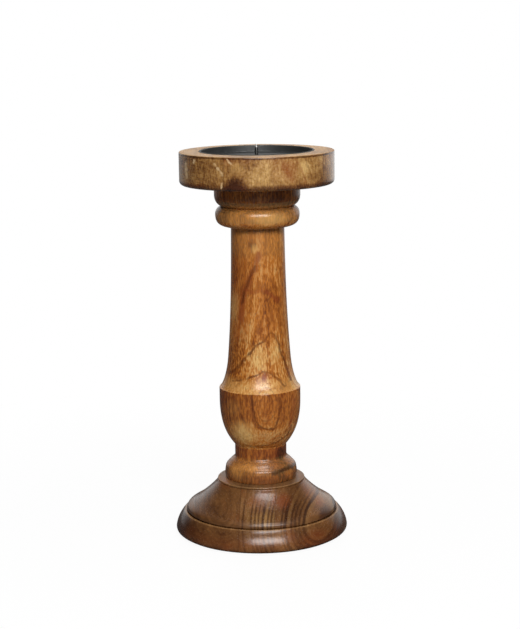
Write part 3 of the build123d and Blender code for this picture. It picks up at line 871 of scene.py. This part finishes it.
class CandleStandColours(bpy.types.PropertyGroup):
    """Colours of the finishes."""

    dish_pale: swatch("Dish Pale Wood", "Palest wood of the dish", 224, 184, 121)
    dish_body: swatch("Dish Wood", "Body colour of the dish", 166, 120, 66)
    dish_deep: swatch("Dish Deep Wood", "Deep streaks of the dish", 116, 74, 36)
    column_pale: swatch("Column Pale Wood", "Palest wood of the column", 240, 198, 128)
    column_body: swatch("Column Wood", "Body colour of the column", 188, 114, 44)
    column_deep: swatch("Column Deep Wood", "Deep streaks of the column", 126, 66, 24)
    foot_pale: swatch("Foot Pale Wood", "Palest wood of the foot", 187, 141, 90)
    foot_body: swatch("Foot Wood", "Body colour of the foot", 120, 80, 44)
    foot_deep: swatch("Foot Deep Wood", "Deep streaks of the foot", 72, 42, 22)
    dark_wood: swatch("Dark Figure", "Darkest ring lines and pores", 56, 30, 14)
    warm_wood: swatch("Warm Figure", "Reddish flush in the wood", 140, 66, 30)
    line_wood: swatch("Figure Lines", "Brown lines of the figure", 84, 38, 13)
    filler: swatch("Filler", "Pale filler in the dents of the dish", 250, 216, 164)
    straw_wood: swatch("Straw Figure", "Yellow sapwood and filler in the wood", 226, 184, 112)
    pan_paint: swatch("Pan Paint", "Black paint of the drip pan", 42, 43, 42)
    steel: swatch("Steel", "Bare steel of the spike and screw", 176, 174, 170)
    felt: swatch("Felt", "Felt under the foot", 62, 60, 58)


class CandleStandStage(bpy.types.PropertyGroup):
    """Floor and light round the stand."""

    floor_colour: bpy.props.FloatVectorProperty(
        name="Floor", description="Colour of the floor", subtype="COLOR", default=(0.96, 0.96, 0.96))
    floor_bounce: quantity("Floor Bounce", "Share of its light that the floor throws back", 0.30, "NONE")
    shadow_reach: quantity("Shadow Reach", "Distance past which the floor shows plain white", 0.5)
    floor_size: quantity("Floor Size", "Side of the square floor", 12.0)
    key_power: quantity("Key Power", "Power of the soft box at the front", 26.0, "POWER")
    side_power: quantity("Side Power", "Power of the broad weak light on the right", 3.2, "POWER")
    top_power: quantity("Top Power", "Power of the soft light overhead", 9.0, "POWER")
    back_power: quantity("Back Power", "Power of the soft light behind the stand", 10.0, "POWER")
    sheen_power: quantity("Sheen Power", "Power of the soft box that the lacquer mirrors", 23.0, "POWER")
    high_sheen_power: quantity("High Sheen Power", "Power of the upper soft box for the lacquer", 10.0, "POWER")
    fill: quantity("Fill", "Strength of the surroundings on matt surfaces", 0.07, "NONE")


class OBJECT_OT_stand_foot(bpy.types.Operator):
    """Turns the moulded foot and saws it into its three boards"""

    bl_idname = "object.stand_foot"
    bl_label = "Add Foot Boards"

    def execute(self, context):
        sizes = context.scene.stand_sizes
        top = sizes.foot_top
        hole = SCREW_RADIUS + CLEARANCE
        washer = WASHER_HIGH.x + CLEARANCE
        felt = FELT_HIGH.x + CLEARANCE
        socket = TENON_RADIUS + CLEARANCE
        socket_floor = top - SOCKET_DEPTH
        ledge = top - LEDGE_FALL
        blank = turned(
            "foot_blank", (hole, WASHER_HIGH.z), (washer, WASHER_HIGH.z), (washer, FELT_HIGH.z),
            (felt, FELT_HIGH.z), (felt, FOOT_LOW.z), (SOLE_RADIUS, FOOT_LOW.z),
            (sizes.foot_radius, BELLY_LEVEL, SOLE_ROUND_SHARES), (RIM_TOP_RADIUS, RIM_LEVEL, RIM_FACE_SHARES),
            (RIM_TOP_RADIUS - RIM_LAND, RIM_LEVEL), (GROOVE_RADIUS, GROOVE_LEVEL),
            (DOME_LIP_RADIUS, DOME_LIP_LEVEL), (WAIST_RADIUS, WAIST_LEVEL, DOME_LIP_SHARES),
            (SHOULDER_RADIUS, SHOULDER_LEVEL, DOME_SWEEP_SHARES),
            (LEDGE_RADIUS - LEDGE_QUIRK, SHOULDER_LEVEL + LEDGE_QUIRK / 2),
            (LEDGE_RADIUS, SHOULDER_LEVEL + LEDGE_QUIRK), (LEDGE_RADIUS, ledge - LEDGE_ROUND),
            (LEDGE_RADIUS - LEDGE_ROUND, ledge, ROUND_OUT_SHARES), (LAND_RADIUS, top), (socket, top),
            (socket, socket_floor), (hole, socket_floor), closed=True)
        shared = {
            **wood_colours(context.scene.stand_colours, "foot"), "fibre": ALONG_SEAMS, "dashes": 0.04,
            "fibres": 0.04, "flecks": 0.03, "pores": 0.15, "mottle": 0.22, "clouds": 0.5, "bands": 0.3,
            "wander": 2.0, "waver": 0.0018, "blush_share": 0.3, "gloss": 0.23, "dull": FOOT_DULL,
            "zones": FOOT_ZONES,
            # Painted highlights along the rim's edge and the ledge's edge
            "edge_highlights": ((RIM_TOP_RADIUS, RIM_LEVEL, EDGE_HIGHLIGHT_REACH, 0.45), (LEDGE_RADIUS, ledge, EDGE_HIGHLIGHT_REACH, 0.25)),
        }
        knot, left_knot = ((across, 0.0, up) for across, up in (KNOT, LEFT_KNOT))
        looks = {
            "left": grain(
                shared, pith=left_knot, seed=3.0, ring_width=4.2, rings=0.1, lift=-0.07,
                loops=FOOT_LEFT_LOOPS, blots=FOOT_LEFT_BLOTS),
            "middle": grain(
                shared, pith=knot, seed=11.0, ring_width=1.8, rings=0.2, lift=-0.04, loops=FOOT_MIDDLE_LOOPS,
                blots=FOOT_MIDDLE_BLOTS),
            "right": grain(
                shared, pith=knot, seed=5.0, ring_width=2.4, rings=0.12, lift=-0.04, loops=FOOT_RIGHT_LOOPS,
                blots=FOOT_RIGHT_BLOTS),
        }
        sawn_boards(blank, "foot", FOOT_BOARD_HALF, FOOT_SEAM_TURN, looks)
        return {"FINISHED"}


class OBJECT_OT_stand_column(bpy.types.Operator):
    """Turns the baluster column with its two tenons"""

    bl_idname = "object.stand_column"
    bl_label = "Add Column"

    def execute(self, context):
        sizes = context.scene.stand_sizes
        foot_top = sizes.foot_top
        ring_low = foot_top + RING_CHAMFER
        ring_side = foot_top + RING_SIDE
        neck = foot_top + RING_HEIGHT
        cup = neck + NECK_HEIGHT
        bowl = cup + HEEL_HEIGHT
        side = bowl + BOWL_HEIGHT
        lip = side + CUP_SIDE
        groove = sizes.dish_level - UPPER_BEAD_HEIGHT
        bead = groove - LOWER_BEAD_HEIGHT
        low_end = foot_top - LOW_TENON
        top_end = sizes.dish_level + TOP_TENON
        screw_hole = SCREW_RADIUS + CLEARANCE
        screw_end = SCREW_HIGH.z + CLEARANCE
        shank_hole = SHANK_RADIUS + CLEARANCE
        shank_end = PRICKET_LOW.z - CLEARANCE
        chamfered = TENON_RADIUS - TENON_CHAMFER
        piece = turned(
            "column_turned", (0.0, screw_end), (screw_hole, screw_end), (screw_hole, low_end),
            (chamfered, low_end), (TENON_RADIUS, low_end + TENON_CHAMFER), (TENON_RADIUS, foot_top),
            (RING_RADIUS - RING_CHAMFER, foot_top), (RING_RADIUS, ring_low),
            (RING_RADIUS + RING_BELLY, (ring_low + ring_side) / 2, BELLY_OUT_SHARES),
            (RING_RADIUS, ring_side, BELLY_IN_SHARES),
            (RING_CREST_RADIUS, foot_top + RING_CREST, RING_ROUND_SHARES),
            (NECK_RADIUS, neck, RING_COVE_SHARES), (NECK_RADIUS, cup), (HEEL_RADIUS, bowl, HEEL_SHARES),
            (CUP_RADIUS, side, BOWL_SHARES), (CUP_RADIUS, lip - LIP_ROUND),
            (CUP_RADIUS - LIP_ROUND, lip, ROUND_OUT_SHARES), (FLARE_RADIUS, lip + FLARE_HEIGHT, FLARE_SHARES),
            (SHAFT_TOP_RADIUS, bead, SHAFT_SHARES),
            (LOWER_BEAD_RADIUS, bead + LOWER_BEAD_RISE, LOWER_BEAD_SHARES),
            (BEAD_GROOVE_RADIUS, groove, BEAD_CROWN_SHARES),
            (sizes.bead_radius, groove + UPPER_BEAD_RISE, UPPER_BEAD_SHARES),
            (sizes.bead_radius, sizes.dish_level), (TENON_RADIUS, sizes.dish_level),
            (TENON_RADIUS, top_end - TENON_CHAMFER), (chamfered, top_end), (shank_hole, top_end),
            (shank_hole, shank_end), (0.0, shank_end))
        look = grain(
            wood_colours(context.scene.stand_colours, "column"), pith=(-16.0, 58.0, 0.0), fibre=ALONG_STAND,
            seed=7.0, ring_width=3.6, taper=0.03, dash_waves=0.85, dashes=0.2, busy=COLUMN_BUSY, bands=0.2,
            fibres=0.06, mottle=0.28, clouds=0.5, strokes=COLUMN_STROKES, loops=COLUMN_LOOPS,
            blots=COLUMN_BLOTS, zones=COLUMN_ZONES)
        finished(piece, "column", lacquered_wood("column_wood", look))
        return {"FINISHED"}


class OBJECT_OT_stand_dish(bpy.types.Operator):
    """Turns the recessed dish and saws it into its three boards"""

    bl_idname = "object.stand_dish"
    bl_label = "Add Dish Boards"

    def execute(self, context):
        sizes = context.scene.stand_sizes
        low, high, radius = sizes.dish_level, sizes.stand_height, sizes.dish_radius
        lip_level = PAN_HIGH.z - PAN_LIP_RADIUS
        lip_centre = sizes.pan_radius - PAN_SHEET + PAN_LIP_RADIUS
        seat = PAN_LIP_RADIUS + CLEARANCE
        seat_out = lip_centre + math.sqrt(seat**2 - (high - lip_level)**2)
        recess = sizes.pan_radius + CLEARANCE
        seat_in = lip_level - math.sqrt(seat**2 - (recess - lip_centre)**2)
        recess_floor = PAN_LOW.z + DIMPLE_DEPTH
        socket = TENON_RADIUS + CLEARANCE
        hole = SHANK_RADIUS + CLEARANCE
        dimple = DIMPLE_RIM_RADIUS + CLEARANCE
        tenon_end = low + TOP_TENON + CLEARANCE
        dimple_floor = PAN_LOW.z - CLEARANCE
        blank = turned(
            "dish_blank", (hole, tenon_end), (socket, tenon_end), (socket, low),
            (radius - DISH_HEEL_ROUND, low), (radius, low + DISH_HEEL_ROUND, ROUND_IN_SHARES),
            (radius, high - DISH_ARRIS_ROUND), (radius - DISH_ARRIS_ROUND, high, ROUND_OUT_SHARES),
            (seat_out, high), (recess, seat_in, SEAT_SHARES), (recess, recess_floor), (dimple, recess_floor),
            (dimple, dimple_floor), (hole, dimple_floor), closed=True)
        shared = {
            **wood_colours(context.scene.stand_colours, "dish"), "fibre": ALONG_SEAMS, "coat": 0.6,
            "zones": DISH_ZONES, "dull": DISH_DULL, "dashes": 0.08, "fibres": 0.05, "flecks": 0.2, "pores": 0.2,
        }
        looks = {
            "left": grain(
                shared, pith=(-60.0, 0.0, 210.0), seed=21.0, ring_width=4.0, mottle=0.3, lift=-0.10,
                strokes=DISH_LEFT_STROKES),
            "middle": grain(
                shared, pith=(-20.0, 0.0, 250.0), seed=33.0, ring_width=4.4, mottle=0.7, rings=0.15,
                lift=-0.06, strokes=DISH_MIDDLE_STROKES, blots=DISH_MIDDLE_BLOTS),
            "right": grain(
                shared, pith=(90.0, 0.0, 300.0), seed=45.0, ring_width=4.0, mottle=0.4, lift=-0.08,
                strokes=DISH_RIGHT_STROKES),
        }
        sawn_boards(blank, "dish", DISH_BOARD_HALF, DISH_SEAM_TURN, looks)
        return {"FINISHED"}


class OBJECT_OT_stand_drip_pan(bpy.types.Operator):
    """Presses the black drip pan with its curled lip and dimple"""

    bl_idname = "object.stand_drip_pan"
    bl_label = "Add Drip Pan"

    def execute(self, context):
        outer = context.scene.stand_sizes.pan_radius
        inner = outer - PAN_SHEET
        corner_in = PAN_CORNER_ROUND - PAN_SHEET
        under = PAN_LOW.z + DIMPLE_DEPTH
        floor = under + PAN_SHEET
        dimple = floor - DIMPLE_DEPTH
        lip = PAN_HIGH.z - PAN_LIP_RADIUS
        centre = inner + PAN_LIP_RADIUS
        hole = SHANK_RADIUS + CLEARANCE
        piece = turned(
            "drip_pan_pressed", (hole, PAN_LOW.z), (DIMPLE_FLOOR_RADIUS, PAN_LOW.z),
            (DIMPLE_RIM_RADIUS, under), (outer - PAN_CORNER_ROUND, under),
            (outer, under + PAN_CORNER_ROUND, ROUND_IN_SHARES), (centre, lip - PAN_LIP_RADIUS),
            (centre + PAN_LIP_RADIUS, lip, ROUND_IN_SHARES), (centre, lip + PAN_LIP_RADIUS, ROUND_OUT_SHARES),
            (inner, lip, ROUND_IN_SHARES), (inner, floor + corner_in),
            (inner - corner_in, floor, ROUND_OUT_SHARES), (DIMPLE_RIM_RADIUS, floor),
            (DIMPLE_FLOOR_RADIUS, dimple), (hole, dimple), closed=True)
        paintwork = black_paint("black_stoved_paint", tuple(context.scene.stand_colours.pan_paint))
        finished(piece, "drip_pan", paintwork)
        return {"FINISHED"}


class OBJECT_OT_stand_pricket(bpy.types.Operator):
    """Turns the pointed spike with its collar and screw shank"""

    bl_idname = "object.stand_pricket"
    bl_label = "Add Pricket"

    def execute(self, context):
        floor = PAN_LOW.z + DIMPLE_DEPTH + PAN_SHEET
        seat = floor - DIMPLE_DEPTH
        collar = PRICKET_HIGH.x
        piece = turned(
            "pricket_spike_turned", (0.0, PRICKET_LOW.z), (SHANK_RADIUS, PRICKET_LOW.z + SCREW_POINT),
            (SHANK_RADIUS, seat), (collar, seat), (collar, floor), (PIN_RADIUS, floor),
            (PIN_RADIUS, floor + PIN_LENGTH), (TIP_RADIUS, PRICKET_HIGH.z), (0.0, PRICKET_HIGH.z))
        colour = tuple(context.scene.stand_colours.steel)
        steel = plain_steel("spike_steel", colour, bright_from=floor + PIN_LENGTH + GROUND_RISE)
        finished(piece, "pricket_spike", steel)
        return {"FINISHED"}


class OBJECT_OT_stand_fixings(bpy.types.Operator):
    """Adds the long wood screw and the washer under the foot"""

    bl_idname = "object.stand_fixings"
    bl_label = "Add Foot Screw and Washer"

    def execute(self, context):
        steel = plain_steel("screw_steel", tuple(context.scene.stand_colours.steel))
        head = SCREW_HIGH.x
        head_top = SCREW_LOW.z + SCREW_HEAD_HEIGHT
        screw = turned(
            "foot_screw_turned", (0.0, SCREW_LOW.z), (head / 2, SCREW_LOW.z),
            (head, head_top - SCREW_HEAD_HEIGHT / 3, SCREW_HEAD_SHARES), (head, head_top),
            (SCREW_RADIUS, head_top), (SCREW_RADIUS, SCREW_HIGH.z - SCREW_POINT), (0.0, SCREW_HIGH.z))
        finished(screw, "foot_screw", steel)
        hole = SCREW_RADIUS + CLEARANCE
        washer = turned(
            "foot_washer_punched", (hole, WASHER_LOW.z), (WASHER_HIGH.x, WASHER_LOW.z),
            (WASHER_HIGH.x, WASHER_HIGH.z), (hole, WASHER_HIGH.z), closed=True)
        finished(washer, "foot_washer", steel)
        return {"FINISHED"}


class OBJECT_OT_stand_felt(bpy.types.Operator):
    """Cuts the round felt pad under the foot"""

    bl_idname = "object.stand_felt"
    bl_label = "Add Felt Pad"

    def execute(self, context):
        felt = wool_felt("wool_felt", tuple(context.scene.stand_colours.felt))
        pad = turned("felt_pad_cut", (0.0, FELT_LOW.z), (FELT_HIGH.x, FELT_LOW.z), (FELT_HIGH.x, FELT_HIGH.z),
                     (0.0, FELT_HIGH.z))
        finished(pad, "felt_pad", felt)
        return {"FINISHED"}


def ray_kinds(wire):
    """1 for the eye's rays, also through something clear, and 1 for rays that a glossy surface mirrors."""
    kinds = ("Camera", "Transmission", "Glossy")
    seen, through, glossy = (wire.node("ShaderNodeLightPath", output=f"Is {kind} Ray") for kind in kinds)
    return seen.most(through), glossy


def white_surroundings(world, fill):
    """White to the eye, white behind the stand and dark elsewhere to reflections, a soft fill to the rest."""
    world.use_nodes = True
    tree = world.node_tree
    tree.nodes.clear()
    direction = Wire(tree).node("ShaderNodeTexCoord", output="Generated")
    behind = smooth_step(along(direction, BEHIND), *SKY_PASSAGE) * 0.95 + 0.02
    looked, glossy = ray_kinds(direction)
    strength = fill + glossy * (behind - fill)
    strength = strength + looked * (1.0 - strength)
    light = strength.node("ShaderNodeBackground", None, {"Color": (1.0, 1.0, 1.0, 1.0), "Strength": strength})
    out = tree.nodes.new("ShaderNodeOutputWorld")
    tree.links.new(light.socket, out.inputs["Surface"])


def pale_floor(colour, bounce, reach):
    """Pale floor that shows white to the eye, with a soft shadow near the stand, and throws back less light."""
    material, shader, place = start_material("pale_floor")
    shader.inputs["Roughness"].default_value = 0.9
    shader.inputs["Specular IOR Level"].default_value = 0.1
    looked, glossy = ray_kinds(place)
    white = place.node("ShaderNodeEmission", None, {"Color": (1.0, 1.0, 1.0, 1.0), "Strength": 1.0})
    thrown = tinted(glossy, scaled(colour, bounce), scaled(colour, bounce * 0.3))
    join(tinted(looked, thrown, colour), shader, "Base Color")
    far = smooth_step(length_of(place), reach * 0.3, reach)
    behind = smooth_step(along(place, (0.0, 1.0, 0.0)), *FLOOR_PASSAGE)
    behind = behind * (smooth_step(along(place, (1.0, 0.0, 0.0)), *FLOOR_SIDE_PASSAGE) * 0.7 + 0.3)
    share = looked * (far * 0.07 + 0.93) + glossy * behind * 0.9
    lit = Wire(place.tree, shader.outputs["BSDF"])
    surface = place.node("ShaderNodeMixShader", None, {0: share, 1: lit, 2: white})
    out = next(node for node in place.tree.nodes if node.type == "OUTPUT_MATERIAL")
    place.tree.links.new(surface.socket, out.inputs["Surface"])
    return material


def soft_box(name, power, aim):
    """One of the soft lights round the stand, seen by matt surfaces or by glossy ones alone."""
    azimuth, height_angle, width, depth, lights = LIGHTS[name]
    azimuth, height_angle = math.radians(azimuth), math.radians(height_angle)
    flat = math.cos(height_angle)
    away = Vector((math.sin(azimuth) * flat, -math.cos(azimuth) * flat, math.sin(height_angle)))
    bpy.ops.object.light_add(type="AREA", location=aim + away * LIGHT_DISTANCE)
    lamp = bpy.context.object
    lamp.name = lamp.data.name = f"{name}_box"
    lamp.rotation_euler = away.to_track_quat("Z", "Y").to_euler()
    lamp.visible_diffuse = lights == "diffuse"
    lamp.visible_glossy = lights == "glossy"
    lamp.data.shape = "RECTANGLE"
    lamp.data.size = width
    lamp.data.size_y = depth
    lamp.data.energy = power


class OBJECT_OT_stand_stage(bpy.types.Operator):
    """Sets the floor, the light and the camera round the stand"""

    bl_idname = "object.stand_stage"
    bl_label = "Set Stage"

    def execute(self, context):
        stage = context.scene.stand_stage
        deselect_all()
        bpy.ops.mesh.primitive_plane_add(size=stage.floor_size)
        floor = context.object
        floor.name = "floor"
        surface = pale_floor(tuple(stage.floor_colour), stage.floor_bounce, stage.shadow_reach)
        floor.data.materials.append(surface)

        context.scene.world = bpy.data.worlds.new("surroundings")
        white_surroundings(context.scene.world, stage.fill)
        middle = Vector((0.0, 0.0, CAD_HIGH.z / 2))
        for name in LIGHTS:
            soft_box(name, getattr(stage, f"{name}_power"), middle)

        bpy.ops.object.camera_add(location=CAMERA_PLACE)
        camera = context.object
        camera.data.sensor_width = SENSOR_WIDTH
        camera.data.lens = CAMERA_LENS
        tilt = Matrix.Rotation(math.pi / 2 - CAMERA_PITCH, 4, "X")
        camera.matrix_world = Matrix.Translation(CAMERA_PLACE) @ tilt @ Matrix.Rotation(CAMERA_ROLL, 4, "Z")
        context.scene.camera = camera
        context.scene.view_settings.view_transform = "Standard"
        return {"FINISHED"}


PIECE_OPERATORS = (
    OBJECT_OT_stand_felt, OBJECT_OT_stand_fixings, OBJECT_OT_stand_foot, OBJECT_OT_stand_column,
    OBJECT_OT_stand_dish, OBJECT_OT_stand_drip_pan, OBJECT_OT_stand_pricket, OBJECT_OT_stand_stage,
)


class VIEW3D_PT_candle_stand(bpy.types.Panel):
    """Sizes, colours and pieces of the candle stand"""

    bl_label = "Candle Stand"
    bl_idname = "VIEW3D_PT_candle_stand"
    bl_space_type = "VIEW_3D"
    bl_region_type = "UI"
    bl_category = "Candle Stand"

    def draw(self, context):
        for title, group in (
            ("Sizes", context.scene.stand_sizes), ("Colours", context.scene.stand_colours),
            ("Stage", context.scene.stand_stage),
        ):
            box = self.layout.box()
            box.label(text=title)
            for name in group.__annotations__:
                box.prop(group, name)
        for operator in PIECE_OPERATORS:
            self.layout.operator(operator.bl_idname)


CLASSES = (CandleStandSizes, CandleStandColours, CandleStandStage, *PIECE_OPERATORS, VIEW3D_PT_candle_stand)


def register():
    for each in CLASSES:
        bpy.utils.register_class(each)
    bpy.types.Scene.stand_sizes = bpy.props.PointerProperty(type=CandleStandSizes)
    bpy.types.Scene.stand_colours = bpy.props.PointerProperty(type=CandleStandColours)
    bpy.types.Scene.stand_stage = bpy.props.PointerProperty(type=CandleStandStage)


def unregister():
    del bpy.types.Scene.stand_stage
    del bpy.types.Scene.stand_colours
    del bpy.types.Scene.stand_sizes
    for each in reversed(CLASSES):
        bpy.utils.unregister_class(each)


def main():
    """Builds the whole stand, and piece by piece."""
    register()
    bpy.ops.object.stand_felt()
    bpy.ops.object.stand_fixings()
    bpy.ops.object.stand_foot()
    bpy.ops.object.stand_column()
    bpy.ops.object.stand_dish()
    bpy.ops.object.stand_drip_pan()
    bpy.ops.object.stand_pricket()
    bpy.ops.object.stand_stage()


if __name__ == "__main__":
    main()
